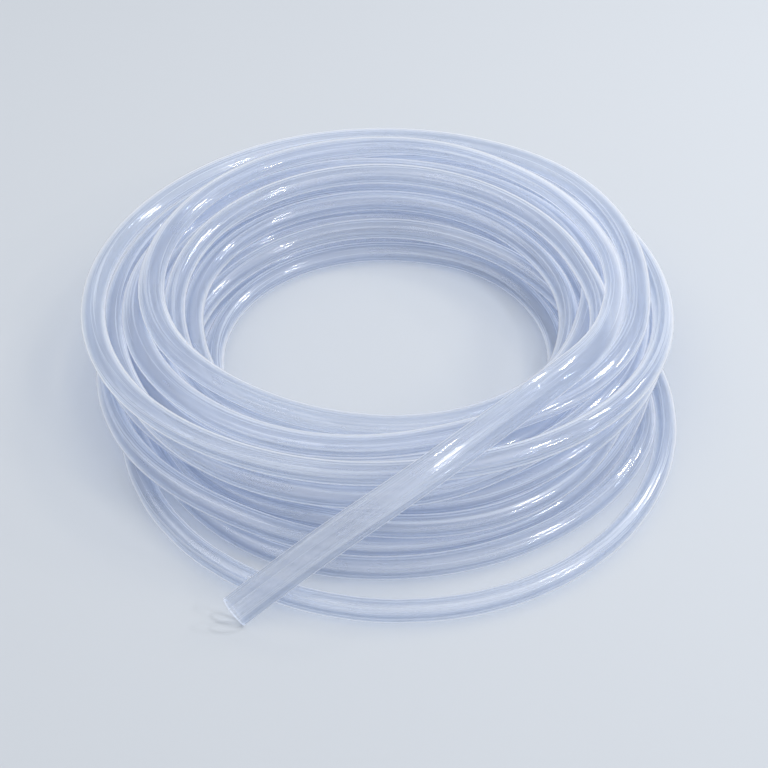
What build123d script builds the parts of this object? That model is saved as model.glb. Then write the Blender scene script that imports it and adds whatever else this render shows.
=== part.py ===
"""A loose coil of round silicone tube, lying flat on a table.

The wound turns are one closed solid of the bundle's outer shape. The turn that has slipped out of
the bundle and the free end that lies over it are real hollow tubes. Millimetres, +Z up. The origin
is on the table, in the middle of the space that the whole object takes.
"""

from build123d import *
from math import radians, tan
import os

# Tube
TUBE_OD = 8.0
TUBE_BORE = 6.0

# Bundle of turns: stacked rows, each one a ring that lies a little off the one below
COIL_CENTRE_Y = 10.5
INNER_RADIUS = 60.0
OUTER_RADIUS = 108.5
COIL_HEIGHT = 36.0
ROWS = 4
ROW_SHIFT = -1.6
ROW_OVERLAP = 4.0
EDGE_RADIUS = 4.0

# Cords: an arc takes this share of the shorter of the two runs that it joins
ARC_SHARE = 0.45

ON_TABLE = TUBE_OD / 2
ON_COIL = COIL_HEIGHT + TUBE_OD / 2
IN_TOP_ROW = COIL_HEIGHT - TUBE_OD / 2

# The loose turn lies on the table. It comes from under the bundle at the right, goes round the
# front and returns under the bundle at the left.
LOOSE_TURN_POINTS = [
    (91.7, 31.7, ON_TABLE),
    (104.5, -7.6, ON_TABLE),
    (99.6, -50.4, ON_TABLE),
    (75.9, -88.4, ON_TABLE),
    (37.9, -112.1, ON_TABLE),
    (-8.3, -116.5, ON_TABLE),
    (-51.6, -99.5, ON_TABLE),
    (-81.5, -66.2, ON_TABLE),
    (-93.9, -21.5, ON_TABLE),
]

# The free end leaves the top row at the right, crosses the front turns in one straight stretch,
# bends down over their outer edge and touches the table with its cut end.
FREE_END_POINTS = [
    (86.5, 9.8, IN_TOP_ROW),
    (77.5, -19.8, ON_COIL - TUBE_OD / 2),
    (57.2, -45.5, ON_COIL),
    (9.3, -93.5, ON_COIL),
    (-21.0, -107.9, ON_TABLE + 22.0),
    (-47.6, -115.1, ON_TABLE),
]


def arc_radii(points):
    """The radius at each inner point: the share of the shorter run over the tangent of half the turn."""
    vectors = [Vector(*point) for point in points]
    runs = [after - before for before, after in zip(vectors, vectors[1:])]
    radii = []
    for first, second in zip(runs, runs[1:]):
        half_turn = radians(first.get_angle(second)) / 2
        radii.append(ARC_SHARE * min(first.length, second.length) / tan(half_turn))
    return radii


def tube_path(points):
    """Straight runs joined by tangent arcs, each as large as its two runs allow."""
    with BuildLine() as path:
        FilletPolyline(*points, radius=arc_radii(points))
    return path.line


def section_plane(path):
    """The plane across the start of a path."""
    return Plane(origin=path @ 0, z_dir=path % 0)


loose_path = tube_path(LOOSE_TURN_POINTS)
free_path = tube_path(FREE_END_POINTS)

with BuildPart() as loose_turn:
    with BuildSketch(section_plane(loose_path)):
        Circle(TUBE_OD / 2)
        Circle(TUBE_BORE / 2, mode=Mode.SUBTRACT)
    sweep(path=loose_path)
loose_turn.part.label = "loose_turn"

with BuildPart() as free_end:
    with BuildSketch(section_plane(free_path)):
        Circle(TUBE_OD / 2)
        Circle(TUBE_BORE / 2, mode=Mode.SUBTRACT)
    sweep(path=free_path)
free_end.part.label = "free_end"

# The bundle: one rounded ring for each row. A ring reaches one overlap into the row above, so that
# the rows are one solid. The two tubes keep their own space in it.
row_pitch = (COIL_HEIGHT - ROW_OVERLAP) / ROWS
ring_width = OUTER_RADIUS - INNER_RADIUS
ring_height = row_pitch + ROW_OVERLAP
with BuildPart() as coil:
    for row in range(ROWS):
        off_centre = ROW_SHIFT * (row - (ROWS - 1) / 2)
        ring_axis = Axis((off_centre, COIL_CENTRE_Y, 0), (0, 0, 1))
        with BuildSketch(Plane(origin=ring_axis.position, z_dir=(0, -1, 0), x_dir=(1, 0, 0))):
            with Locations((INNER_RADIUS + ring_width / 2, row * row_pitch + ring_height / 2)):
                RectangleRounded(ring_width, ring_height, EDGE_RADIUS)
        revolve(axis=ring_axis)
    for path in (loose_path, free_path):
        with BuildSketch(section_plane(path)):
            Circle(TUBE_OD / 2)
        sweep(path=path, mode=Mode.SUBTRACT)
coil.part.label = "coil"

for name, points in (("loose_turn", LOOSE_TURN_POINTS), ("free_end", FREE_END_POINTS)):
    print(name, "arc radii:", ", ".join(f"{radius:.0f}" for radius in arc_radii(points)), "mm")

os.makedirs("parts", exist_ok=True)
export_step(coil.part, "parts/coil.step")
export_step(loose_turn.part, "parts/loose_turn.step")
export_step(free_end.part, "parts/free_end.step")
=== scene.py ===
"""A loose coil of translucent silicone tube on a pale table.

One tube follows one smooth route: turn upon turn of the bundle, the loose turn that has slipped
out of it at the front, and the free end that lies across it. All is in metres, in the CAD model's
own frame.
"""

from math import pi, radians

import bpy
import numpy as np
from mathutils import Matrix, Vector


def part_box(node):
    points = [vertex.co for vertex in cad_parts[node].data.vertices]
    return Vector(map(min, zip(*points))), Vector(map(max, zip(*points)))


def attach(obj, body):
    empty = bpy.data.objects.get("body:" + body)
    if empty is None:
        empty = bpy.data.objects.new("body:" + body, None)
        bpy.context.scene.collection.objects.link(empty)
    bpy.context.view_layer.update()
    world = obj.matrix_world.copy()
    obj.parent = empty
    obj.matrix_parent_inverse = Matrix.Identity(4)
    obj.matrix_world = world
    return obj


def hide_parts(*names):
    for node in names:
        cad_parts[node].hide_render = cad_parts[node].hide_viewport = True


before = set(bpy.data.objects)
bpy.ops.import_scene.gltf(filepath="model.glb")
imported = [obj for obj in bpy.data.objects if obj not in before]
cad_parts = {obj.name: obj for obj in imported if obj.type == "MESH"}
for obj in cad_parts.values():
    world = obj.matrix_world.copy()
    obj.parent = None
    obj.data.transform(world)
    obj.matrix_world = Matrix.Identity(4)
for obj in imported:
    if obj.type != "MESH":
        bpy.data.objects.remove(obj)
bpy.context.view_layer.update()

MM = 0.001
TUBE_OD = 8.0 * MM
TUBE_BORE = 6.0 * MM
WALL = (TUBE_OD - TUBE_BORE) / 2
ON_TABLE = TUBE_OD / 2  # the centre line's height where the tube lies on the table

# The bundle's middle, height and width come from its CAD solid, and limit its centre lines.
coil_low, coil_high = (np.array(corner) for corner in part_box("coil"))
MIDDLE = (coil_low + coil_high)[:2] / 2
IN_TOP_ROW = coil_high[2] - TUBE_OD / 2
NEAREST_TURN = 64.0 * MM
INSIDE_EDGE = 1.5 * MM
FARTHEST_TURN = (coil_high - coil_low)[1] / 2 - INSIDE_EDGE

# The loose turn's points, from under the bundle at the right, round the front, to the left.
LOOSE_TURN_POINTS = np.array([
    (91.7, 31.7, 4.0),
    (104.5, -7.6, 4.0),
    (99.6, -50.4, 4.0),
    (75.9, -88.4, 4.0),
    (37.9, -112.1, 4.0),
    (-8.3, -116.5, 4.0),
    (-51.6, -99.5, 4.0),
    (-81.5, -66.2, 4.0),
    (-93.9, -21.5, 4.0),
]) * MM

# The free end's points, from the top row at the right, over the front turns, down to the table.
FREE_END_POINTS = np.array([
    (86.5, 9.8, 32.0),
    (77.5, -19.8, 36.0),
    (57.2, -45.5, 40.0),
    (9.3, -93.5, 40.0),
    (-21.0, -107.9, 26.0),
    (-47.6, -115.1, 4.0),
]) * MM

TURNS = 17.694
START_DEG = -100.0  # where the hidden end lies, seen from above
STEPS = 48  # points for each turn
LOOSE_FROM, LOOSE_TO = 1.686, 2.17  # the turn numbers that the loose turn's own points replace

# Rings that the turns are wound on: turn number, how far the ring's middle lies off the coil's
# (x, y), and its radius, in mm. The bottom turns have the first ones, the top turns the last ones.
FIRST_RINGS = [
    (0.0, 4.0, 2.0, 65.0),
    (1.0, 4.0, 1.5, 66.5),
    (1.25, 4.0, -3.0, 76.0),
    (1.5, 5.5, -28.5, 96.8),
    (2.2, 5.5, -28.5, 96.8),
    (2.5, 3.0, -12.0, 86.0),
    (2.67, 2.0, -10.0, 89.0),
    (2.79, 3.0, -10.5, 99.5),
    (3.0, 3.0, -10.5, 94.5),
    (3.15, 4.0, -10.0, 94.5),
    (3.5, 3.0, -9.0, 92.0),
]
LAST_RINGS = [
    (TURNS - 4.2, -2.0, 4.0, 95.0),
    (TURNS - 3.2, 2.0, 6.0, 98.0),
    (TURNS - 2.95, 3.0, 5.0, 100.0),
    (TURNS - 2.7, -5.0, 8.0, 98.0),
    (TURNS - 2.4, -5.0, 7.0, 101.0),
    (TURNS - 2.12, 1.0, 8.0, 101.5),
    (TURNS - 1.96, -3.0, 7.0, 96.0),
    (TURNS - 1.75, -6.0, 7.0, 86.0),
    (TURNS - 1.2, -6.0, 6.0, 86.0),
    (TURNS - 0.95, -2.0, 12.0, 80.0),
    (TURNS - 0.72, 0.0, 15.0, 82.0),
    (TURNS - 0.47, 0.0, 15.0, 86.5),
    (TURNS - 0.22, 2.0, 14.0, 85.5),
    (TURNS, 5.0, 6.0, 84.0),
]

# The hidden rings between them. Each middle lies a golden angle on from the last one, round an
# oval that moves from the front to the back, and the radius swings about its mean.
MIDDLE_TURNS = range(4, 13)
MIDDLE_STARTS = 0.3  # of a turn later
GOLDEN_ANGLE = 2.399963
OVAL_X, OVAL_Y = 5, 4
FIRST_LEAN, LEAN_STEP = -6, 1.3
MEAN_RADIUS, RADIUS_SWING, SWING_TURNS = 84, 11, 4.5

# How the turns settle in the bundle.
DRAPING_PASSES = 30
SETTLING_ROUNDS = 300
PUSHING_PASSES = 3
SINK = 0.05 * MM  # in the first round
KEPT_OFF_RING = 0.99  # share of the way off its own ring that a point keeps each round
GIVES_WAY = 0.35  # share of an overlap that each turn moves by
GIVES_IN = 0.3  # share of the way past a limit that a turn moves back
HELD_AT_END = 5  # points at the coil's end, where the free end starts
HAIR = 1e-12  # keeps a division by a distance from being by nothing
TINY = 1e-9  # a distance too small to count

# The tube's mesh.
READ_FOR_EACH_POINT = 10
RING_STEP = 5.6 * MM
SIDES = 28
SHARP_DEG = 60

# How the soft wall is pressed: distance from the free end in mm, widest and thinnest share of the
# round tube's diameter, and the turn of the wide side from level in degrees.
PRESSED = np.array([
    (0.0, 1.4, 0.55, 48.0),
    (110.0, 1.4, 0.55, 48.0),
    (230.0, 1.28, 0.68, 28.0),
    (360.0, 1.22, 0.76, 0.0),
    (1400.0, 1.22, 0.76, 0.0),
    (1900.0, 1.0, 1.0, 0.0),
])

# Lamps: name, place, watts, width and height in metres. The four narrow ones draw the streaks.
SOFTBOXES = [
    ("right_softbox", (0.80, 0.32, 0.58), 1.5, 0.18, 0.045),
    ("back_softbox", (0.44, 0.49, 0.75), 1.5, 0.18, 0.045),
    ("low_softbox", (0.78, -0.33, 0.57), 1.5, 0.18, 0.045),
    ("side_softbox", (0.52, -0.05, 0.86), 1.5, 0.18, 0.045),
    ("top_softbox", (-0.6, 0.05, 1.05), 3.9, 0.9, 0.9),
]
FLOOR_SIDE = 40
ROOM_COLOUR = "#ECF0F6"
ROOM_LIGHT, ROOM_SEEN = 0.66, 1.0  # the room's strength as light, and where it is seen or mirrored
WALLS_SEEN_THROUGH = 20


# ---------------------------------------------------------------- camera and light


def look_from(thing, place, target):
    """Stands a camera or lamp at place, facing target."""
    thing.location = place
    thing.rotation_euler = (Vector(target) - Vector(place)).to_track_quat("-Z", "Y").to_euler()


def make_camera():
    """A long lens, 0.6 m away, looking down at about 42 degrees."""
    camera = bpy.data.objects.new("camera", bpy.data.cameras.new("camera"))
    bpy.context.collection.objects.link(camera)
    camera.data.lens = 75.5
    look_from(camera, (0.0005, -0.4487, 0.4056), (0.0005, -0.0019, 0.0))
    bpy.context.scene.camera = camera


def add_softbox(name, place, power, wide, high):
    """A rectangular lamp that faces the coil."""
    lamp = bpy.data.objects.new(name, bpy.data.lights.new(name, "AREA"))
    bpy.context.collection.objects.link(lamp)
    lamp.data.shape = "RECTANGLE"
    lamp.data.energy = power
    lamp.data.size = wide
    lamp.data.size_y = high
    look_from(lamp, place, (0.0, 0.0, 0.0))


def make_room():
    """A pale room all round, dimmer as a light than as it is seen and mirrored."""
    world = bpy.data.worlds.new("studio")
    bpy.context.scene.world = world
    world.use_nodes = True
    tree = world.node_tree
    background = tree.nodes["Background"]
    background.inputs["Color"].default_value = linear(ROOM_COLOUR)
    rays = node(tree, "ShaderNodeLightPath").outputs
    shown = node(tree, "ShaderNodeMath", {0: rays["Is Camera Ray"], 1: rays["Is Glossy Ray"]},
                 operation="MAXIMUM")
    level = node(tree, "ShaderNodeMapRange", {"Value": shown.outputs[0]},
                 {"To Min": ROOM_LIGHT, "To Max": ROOM_SEEN})
    tree.links.new(level.outputs[0], background.inputs["Strength"])


# ---------------------------------------------------------------- the route


def ring_keys():
    """All rings in order, with those between the first and the last ones worked out.

    Their middle is (oval x * cos a, lean + oval y * sin a), where a is the golden angle times the
    turn number, and their radius is the mean + swing * cos(2 pi * turn / turns of a swing).
    """
    rings = list(FIRST_RINGS)
    for turn in MIDDLE_TURNS:
        angle = GOLDEN_ANGLE * turn
        lean = FIRST_LEAN + LEAN_STEP * (turn - MIDDLE_TURNS[0])
        rings.append((
            turn + MIDDLE_STARTS,
            OVAL_X * np.cos(angle),
            lean + OVAL_Y * np.sin(angle),
            MEAN_RADIUS + RADIUS_SWING * np.cos(2 * pi * turn / SWING_TURNS),
        ))
    return np.array(rings + LAST_RINGS)


def eased(turns, keys, column):
    """The keys' values at each turn number: s * s * (3 - 2 s) of the way from key to key."""
    before = np.clip(np.searchsorted(keys[:, 0], turns, side="right") - 1, 0, len(keys) - 2)
    share = (turns - keys[before, 0]) / (keys[before + 1, 0] - keys[before, 0])
    share = np.clip(share, 0, 1)
    share = share * share * (3 - 2 * share)
    return keys[before, column] * (1 - share) + keys[before + 1, column] * share


def first_distances(turns, angles):
    """Distance from the coil's middle to each point of its ring, which lies off that middle.

    The law of cosines: off * cos b + sqrt(radius^2 - (off * sin b)^2), where b is the angle between
    the point and the ring's middle. Two small sines of angle and turn waver it.
    """
    keys = ring_keys()
    off_x, off_y, radius = (eased(turns, keys, column) * MM for column in (1, 2, 3))
    off = np.hypot(off_x, off_y)
    turned = angles - np.arctan2(off_y, off_x)
    ring = off * np.cos(turned) + np.sqrt(radius**2 - (off * np.sin(turned)) ** 2)
    waver = 0.8 * np.sin(2 * angles + 1.7 * turns) + 0.6 * np.sin(3 * angles - 2.3 * turns + 1)
    return ring + waver * MM


def softened(values):
    """Each value moved half way to the mean of its two neighbours, as a stiff tube would."""
    out = values.copy()
    out[1:-1] = 0.25 * values[:-2] + 0.5 * values[1:-1] + 0.25 * values[2:]
    return out


def dropped_heights(distance):
    """Heights of the turns, laid one after another, one row of points for each turn.

    Each point lies on the table or a diameter from the turns below it: its height is the greatest
    of theirs + sqrt(diameter^2 - sideways distance^2). The tube drapes over these heights, since
    it is too stiff to follow them closely.
    """
    height = np.full(distance.shape, ON_TABLE)
    for turn in range(1, len(distance)):
        apart = np.abs(distance[:turn] - distance[turn])
        rise = np.sqrt(np.maximum(TUBE_OD**2 - apart**2, 0))
        over = np.where(apart < TUBE_OD, height[:turn] + rise, ON_TABLE)
        needed = over.max(axis=0)
        lying = needed
        for _ in range(DRAPING_PASSES):
            joined = np.concatenate([[height[turn - 1, -1]], lying, [lying[-1]]])
            lying = np.maximum(needed, softened(joined)[1:-1])
        height[turn] = lying
    return height


def settled(distance, pinned):
    """Lets the turns sink and push each other apart until they lie a diameter apart in the bundle.

    Every round lowers each point a little, pulls it towards its own ring, softens bends along the
    tube, and then pushes apart the turns that come nearer than a diameter at the same angle, along
    the line between them. Pinned points stay on the table, and the last ones in the top row.
    """
    count = len(distance)
    rows = -(-count // STEPS)
    spare = rows * STEPS - count

    def in_rows(values):
        """One row for each turn, the last one filled up with points a metre away."""
        return np.concatenate([values, np.full(spare, 1.0)]).reshape(rows, STEPS)

    height = dropped_heights(in_rows(distance)).ravel()[:count]
    own_ring, out = distance.copy(), distance.copy()
    at_end = np.arange(count) >= count - HELD_AT_END
    for number in range(SETTLING_ROUNDS):
        height = height - SINK * (1 - number / SETTLING_ROUNDS)
        out = own_ring + softened(softened(KEPT_OFF_RING * (out - own_ring)))
        height = softened(softened(height))
        for _ in range(PUSHING_PASSES):
            side, level = in_rows(out), in_rows(height)
            across = side[:, None] - side[None]
            up = level[:, None] - level[None]
            apart = np.sqrt(across**2 + up**2) + HAIR
            closer = np.where((apart < TUBE_OD) & (apart > TINY), TUBE_OD - apart, 0.0)
            push = GIVES_WAY * closer / apart
            out = out + (push * across).sum(axis=1).ravel()[:count]
            height = height + (push * up).sum(axis=1).ravel()[:count]
            height = np.maximum(height, ON_TABLE)
            height = height - GIVES_IN * np.maximum(height - IN_TOP_ROW, 0)
            out = out + GIVES_IN * np.maximum(NEAREST_TURN - out, 0)
            out = out - GIVES_IN * np.maximum(out - FARTHEST_TURN, 0)
            out = np.where(pinned | at_end, own_ring, out)
            height = np.where(pinned, ON_TABLE, np.where(at_end, IN_TOP_ROW, height))
    return out, height


def coil_points():
    """The turns' numbers and points in the order that the tube runs, clockwise seen from above."""
    turns = np.arange(int(TURNS * STEPS) + 1) / STEPS
    angles = radians(START_DEG) - 2 * pi * turns
    pinned = (turns > LOOSE_FROM) & (turns < LOOSE_TO)
    out, height = settled(first_distances(turns, angles), pinned)
    x = MIDDLE[0] + out * np.cos(angles)
    y = MIDDLE[1] + out * np.sin(angles)
    return turns, np.stack([x, y, height], axis=1)


def route_points():
    """All control points of the tube, from its hidden end to the free one."""
    turns, coil = coil_points()
    before = coil[turns <= LOOSE_FROM]
    after = coil[turns >= LOOSE_TO]
    return np.concatenate([before, LOOSE_TURN_POINTS, after, FREE_END_POINTS])


def spline_points(control):
    """The points of the smooth NURBS line with these control points."""
    curve = bpy.data.curves.new("route", "CURVE")
    curve.dimensions = "3D"
    curve.resolution_u = READ_FOR_EACH_POINT
    spline = curve.splines.new("NURBS")
    spline.points.add(len(control) - 1)
    spline.points.foreach_set("co", np.column_stack([control, np.ones(len(control))]).ravel())
    spline.order_u = 3
    spline.use_endpoint_u = True
    holder = bpy.data.objects.new("route", curve)
    bpy.context.collection.objects.link(holder)
    line = bpy.data.meshes.new_from_object(holder)
    points = np.empty(len(line.vertices) * 3)
    line.vertices.foreach_get("co", points)
    bpy.data.objects.remove(holder)
    bpy.data.meshes.remove(line)
    return points.reshape(-1, 3)


def rings_on(points, step):
    """Picks the read points that lie about a step apart, and their distances along the line."""
    run = np.linalg.norm(np.diff(points, axis=0), axis=1)
    along = np.concatenate([[0.0], np.cumsum(run)])
    wanted = np.linspace(0, along[-1], int(round(along[-1] / step)) + 1)
    picked = np.unique(np.searchsorted(along, wanted - TINY))
    return points[picked], along[picked]


# ---------------------------------------------------------------- the tube


def cross_axes(centres):
    """Two unit vectors across the tube at each centre: one level, one square to it and the tube."""
    tangent = np.gradient(centres, axis=0)
    tangent /= np.linalg.norm(tangent, axis=1, keepdims=True)
    level = np.cross(tangent, (0.0, 0.0, 1.0))
    level /= np.linalg.norm(level, axis=1, keepdims=True)
    return level, np.cross(level, tangent)


def wall_grid(centres, to_end, depth):
    """Oval rings, depth inside the tube's outer surface.

    Each is centre + (wide - depth) * cos a * first axis + (thin - depth) * sin a * second axis,
    where wide and thin are the pressed tube's half widths, and the axes are the level and raised
    ones, rolled by the same table.
    """
    level, raised = cross_axes(centres)
    wide, thin, roll = (np.interp(to_end, PRESSED[:, 0] * MM, PRESSED[:, column])[:, None]
                        for column in (1, 2, 3))
    wide, thin = (TUBE_OD / 2 * share - depth for share in (wide, thin))
    roll = np.radians(roll)
    first = np.cos(roll) * level + np.sin(roll) * raised
    second = np.cos(roll) * raised - np.sin(roll) * level
    angle = 2 * pi * np.arange(SIDES) / SIDES
    across = (wide * np.cos(angle))[:, :, None] * first[:, None]
    upward = (thin * np.sin(angle))[:, :, None] * second[:, None]
    return centres[:, None] + across + upward


def grid_faces(rings, first, inside):
    """Quads between neighbouring rings, facing out, or in towards the bore."""
    ring, side = np.meshgrid(np.arange(rings - 1), np.arange(SIDES), indexing="ij")
    here = first + ring * SIDES + side
    beside = first + ring * SIDES + (side + 1) % SIDES
    order = (here, beside, beside + SIDES, here + SIDES)
    return np.stack(order if inside else order[::-1], axis=-1).reshape(-1, 4)


def cut_faces(start, bore_first, last):
    """The flat ring of quads between the two walls where the tube is cut."""
    side = np.arange(SIDES)
    here, beside = start + side, start + (side + 1) % SIDES
    order = (here, beside, beside + bore_first, here + bore_first)
    return np.stack(order if last else order[::-1], axis=-1)


def tube_mesh(name, centres, places):
    """A hollow tube: outer wall, bore wall and a flat cut face at each end, as one closed mesh.

    Its attributes are extrusion, which is (cos a, sin a) * radius and the distance along the tube,
    and outer_wall, which is 1 on the outer wall and 0 in the bore.
    """
    rings = len(centres)
    to_end = places[-1] - places
    walls = [wall_grid(centres, to_end, depth) for depth in (0.0, WALL)]
    bore_first = rings * SIDES
    faces = np.concatenate([
        grid_faces(rings, 0, False),
        grid_faces(rings, bore_first, True),
        cut_faces(0, bore_first, False),
        cut_faces((rings - 1) * SIDES, bore_first, True),
    ])
    mesh = bpy.data.meshes.new(name)
    mesh.from_pydata(np.concatenate(walls).reshape(-1, 3), [], faces)

    angle = 2 * pi * np.arange(SIDES) / SIDES
    grain = np.empty((2, rings, SIDES, 3))
    grain[..., 0] = np.cos(angle) * TUBE_OD / 2
    grain[..., 1] = np.sin(angle) * TUBE_OD / 2
    grain[..., 2] = places[:, None]
    extrusion = mesh.attributes.new("extrusion", "FLOAT_VECTOR", "POINT")
    extrusion.data.foreach_set("vector", grain.ravel())
    outer_wall = mesh.attributes.new("outer_wall", "FLOAT", "POINT")
    outer_wall.data.foreach_set("value", np.repeat([1.0, 0.0], rings * SIDES))

    # The second material is for the cut faces, which are the last ones.
    is_cut = np.arange(len(faces)) >= len(faces) - 2 * SIDES
    mesh.polygons.foreach_set("material_index", is_cut.astype(np.int32))
    mesh.update()
    mesh.shade_smooth()
    mesh.set_sharp_from_angle(angle=radians(SHARP_DEG))
    return mesh


# ---------------------------------------------------------------- materials


def linear(hex_colour):
    """An sRGB hex colour as linear RGBA."""
    channels = [int(hex_colour[i:i + 2], 16) / 255 for i in (1, 3, 5)]
    return [c / 12.92 if c <= 0.04045 else ((c + 0.055) / 1.055) ** 2.4 for c in channels] + [1.0]


def node(tree, kind, links=None, values=None, **settings):
    """Adds a node: the sockets that feed its inputs, its own sockets' values, and its settings."""
    made = tree.nodes.new(kind)
    for name, value in settings.items():
        setattr(made, name, value)
    for socket, value in (values or {}).items():
        made.inputs[socket].default_value = value
    for socket, source in (links or {}).items():
        tree.links.new(source, made.inputs[socket])
    return made


def new_material(name):
    """An empty node material, its tree and its output node."""
    material = bpy.data.materials.new(name)
    material.use_nodes = True
    tree = material.node_tree
    tree.nodes.clear()
    return material, tree, tree.nodes.new("ShaderNodeOutputMaterial")


def extruded_silicone():
    """Translucent silicone elastomer, extruded and cured.

    Clear with a bluish milkiness, so that a thin wall is seen through and turns on turns go nearly
    white. Its skin is smooth and glossy, with faint die lines along it. Where a wall is seen edge
    on it is milkier, and its colour is painted white there: a painted bright rim for the light
    caught in the edge-on wall.
    """
    material, tree, output = new_material("extruded_silicone")
    place = node(tree, "ShaderNodeTexCoord").outputs["Object"]
    grain = node(tree, "ShaderNodeAttribute", attribute_name="extrusion").outputs["Vector"]
    wall = node(tree, "ShaderNodeAttribute", attribute_name="outer_wall").outputs["Fac"]
    edge = node(tree, "ShaderNodeLayerWeight", values={"Blend": 0.5}).outputs["Facing"]

    # Haze: cloudy places 20 mm across.
    haze = node(tree, "ShaderNodeTexNoise", {"Vector": place}, {"Scale": 50.0, "Detail": 1.0})
    # Die lines: fine, 1 mm apart around the tube and 100 mm long.
    along = node(tree, "ShaderNodeMapping", {"Vector": grain}, {"Scale": (1000.0, 1000.0, 10.0)})
    lines = node(tree, "ShaderNodeTexNoise", {"Vector": along.outputs[0]},
                 {"Scale": 1.0, "Detail": 2.0})
    ridges = node(tree, "ShaderNodeBump", {"Height": lines.outputs[0]},
                  {"Strength": 0.12, "Distance": 0.0002})

    # The milky silicone itself, which scatters light on both sides. Its colour goes white where a
    # wall is seen edge on: a painted highlight for the light caught in the edge-on wall.
    sharp_edge = node(tree, "ShaderNodeMapRange", {"Value": edge},
                      {"From Min": 0.4, "From Max": 0.78}, interpolation_type="SMOOTHSTEP")
    rubber_with_painted_rim = node(tree, "ShaderNodeMix", {"Factor": sharp_edge.outputs[0]},
                  {"A": linear("#E8EDF5"), "B": linear("#FFFFFF")}, data_type="RGBA").outputs[2]
    body = node(tree, "ShaderNodeBsdfPrincipled",
                {"Base Color": rubber_with_painted_rim, "Normal": ridges.outputs[0]},
                {"Roughness": 0.2, "IOR": 1.41})
    glow = node(tree, "ShaderNodeBsdfTranslucent", {"Color": rubber_with_painted_rim})
    milky = node(tree, "ShaderNodeMixShader", {1: body.outputs[0], 2: glow.outputs[0]}, {0: 0.45})

    # What is seen through a wall: a little bluer towards its edges and through the darker lines.
    depth = node(tree, "ShaderNodeMapRange", {"Value": edge}, {"From Min": 0.05, "From Max": 0.45})
    dark_lines = node(tree, "ShaderNodeMapRange", {"Value": lines.outputs[0]},
                      {"From Min": 0.44, "From Max": 0.34, "To Max": 0.7})
    darker = node(tree, "ShaderNodeMath", {0: depth.outputs[0], 1: dark_lines.outputs[0]},
                  operation="ADD", use_clamp=True)
    seen_through = node(tree, "ShaderNodeMix", {"Factor": darker.outputs[0]},
                        {"A": linear("#FEFEFF"), "B": linear("#E2E7EF")}, data_type="RGBA")
    clear = node(tree, "ShaderNodeBsdfTransparent", {"Color": seen_through.outputs[2]})

    # How milky a wall is: the outer one more than the bore's, with haze, white lines and edges.
    base = node(tree, "ShaderNodeMapRange", {"Value": wall}, {"To Min": 0.04, "To Max": 0.18})
    hazed = node(tree, "ShaderNodeMath", {0: haze.outputs[0], 2: base.outputs[0]}, {1: 0.1},
                 operation="MULTIPLY_ADD")
    white_lines = node(tree, "ShaderNodeMapRange", {"Value": lines.outputs[0]},
                       {"From Min": 0.54, "From Max": 0.66, "To Min": 0.06, "To Max": 0.4})
    lined = node(tree, "ShaderNodeMath", {0: white_lines.outputs[0], 1: hazed.outputs[0]},
                 operation="ADD")
    milkiness = node(tree, "ShaderNodeMath", {0: sharp_edge.outputs[0], 2: lined.outputs[0]},
                     {1: 0.85}, operation="MULTIPLY_ADD", use_clamp=True)
    wall_mix = node(tree, "ShaderNodeMixShader",
                    {0: milkiness.outputs[0], 1: clear.outputs[0], 2: milky.outputs[0]})

    # The glossy skin, faint where a wall is seen from its inside.
    mirror = node(tree, "ShaderNodeFresnel", values={"IOR": 1.41}).outputs[0]
    inside = node(tree, "ShaderNodeNewGeometry").outputs["Backfacing"]
    gloss = node(tree, "ShaderNodeMix", {"Factor": inside, "A": mirror}, {"B": 0.05}).outputs[0]
    skin = node(tree, "ShaderNodeBsdfGlossy", {"Normal": ridges.outputs[0]}, {"Roughness": 0.035})
    glossy = node(tree, "ShaderNodeMixShader",
                  {0: gloss, 1: wall_mix.outputs[0], 2: skin.outputs[0]})

    # Light goes through the walls with little loss, so the shadows are faint.
    shadow = node(tree, "ShaderNodeLightPath").outputs["Is Shadow Ray"]
    lit_through = node(tree, "ShaderNodeBsdfTransparent", values={"Color": linear("#F7F8FA")})
    shader = node(tree, "ShaderNodeMixShader",
                  {0: shadow, 1: glossy.outputs[0], 2: lit_through.outputs[0]})
    tree.links.new(shader.outputs[0], output.inputs[0])
    return material


def cut_silicone():
    """The knife-cut end: rough, so it scatters light and looks nearly white."""
    material, tree, output = new_material("cut_silicone")
    place = node(tree, "ShaderNodeTexCoord").outputs["Object"]
    # Tear marks of the blade, 0.4 mm apart.
    tears = node(tree, "ShaderNodeTexNoise", {"Vector": place}, {"Scale": 2500.0, "Detail": 2.0})
    relief = node(tree, "ShaderNodeBump", {"Height": tears.outputs[0]},
                  {"Strength": 0.3, "Distance": 0.0001})
    cut = node(tree, "ShaderNodeBsdfPrincipled", {"Normal": relief.outputs[0]},
               {"Base Color": linear("#F1F5FC"), "Roughness": 0.45, "IOR": 1.41})
    tree.links.new(cut.outputs[0], output.inputs[0])
    return material


def lacquered_board():
    """Matt lacquered board."""
    material, tree, output = new_material("lacquered_board")
    board = node(tree, "ShaderNodeBsdfPrincipled", values={
        "Base Color": linear("#C9CDD2"), "Roughness": 0.7, "Specular IOR Level": 0.1})
    tree.links.new(board.outputs[0], output.inputs[0])
    return material


# ---------------------------------------------------------------- the scene


make_camera()
centres, places = rings_on(spline_points(route_points()), RING_STEP)
tubing = bpy.data.objects.new("silicone_tubing", tube_mesh("silicone_tubing", centres, places))
bpy.context.collection.objects.link(tubing)
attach(tubing, "root")
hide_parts("coil", "loose_turn", "free_end")
tubing.data.materials.append(extruded_silicone())
tubing.data.materials.append(cut_silicone())

bpy.ops.mesh.primitive_plane_add(size=FLOOR_SIDE)
floor = bpy.context.object
floor.name = "table_top"
floor.data.materials.append(lacquered_board())

for softbox in SOFTBOXES:
    add_softbox(*softbox)
make_room()
bpy.context.scene.view_settings.view_transform = "Standard"
bpy.context.scene.cycles.transparent_max_bounces = WALLS_SEEN_THROUGH
